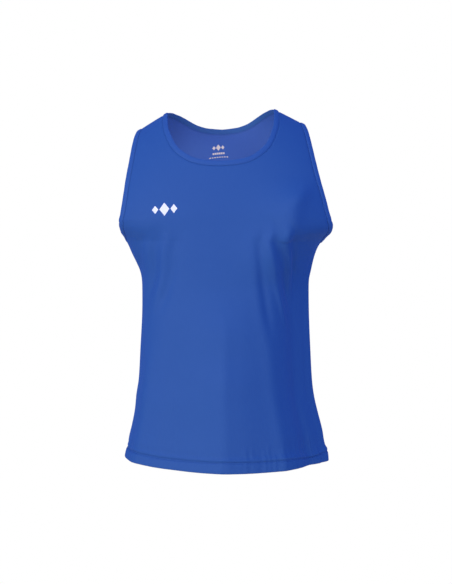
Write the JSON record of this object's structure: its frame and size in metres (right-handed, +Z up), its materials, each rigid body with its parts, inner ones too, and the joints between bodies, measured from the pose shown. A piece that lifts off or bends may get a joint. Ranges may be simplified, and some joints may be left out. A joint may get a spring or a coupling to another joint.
{
  "type": "sleeveless boxing vest",
  "caption": "Sleeveless athletic knit vest with a scooped neck, narrow bound armholes and a stitched hem, filled out as when worn.",
  "frame": {"origin": "midway between the two shoulder straps, at the height of the middle of their shoulder seams, where the wearer's shoulders carry the vest", "axes": "+Z up, the front faces -Y, +X towards the wearer's left"},
  "size_m": [0.406, 0.2728, 0.6923],
  "materials": {
    "panel_knit": "smooth light polyester knit with a soft sheen, royal blue",
    "band_knit": "the same knit folded double, royal blue"
  },
  "bodies": {
    "root": {"front_panel": "panel_knit", "back_panel": "panel_knit", "neck_band": "band_knit", "armhole_band_left": "band_knit", "armhole_band_right": "band_knit"}
  },
  "joints": []
}
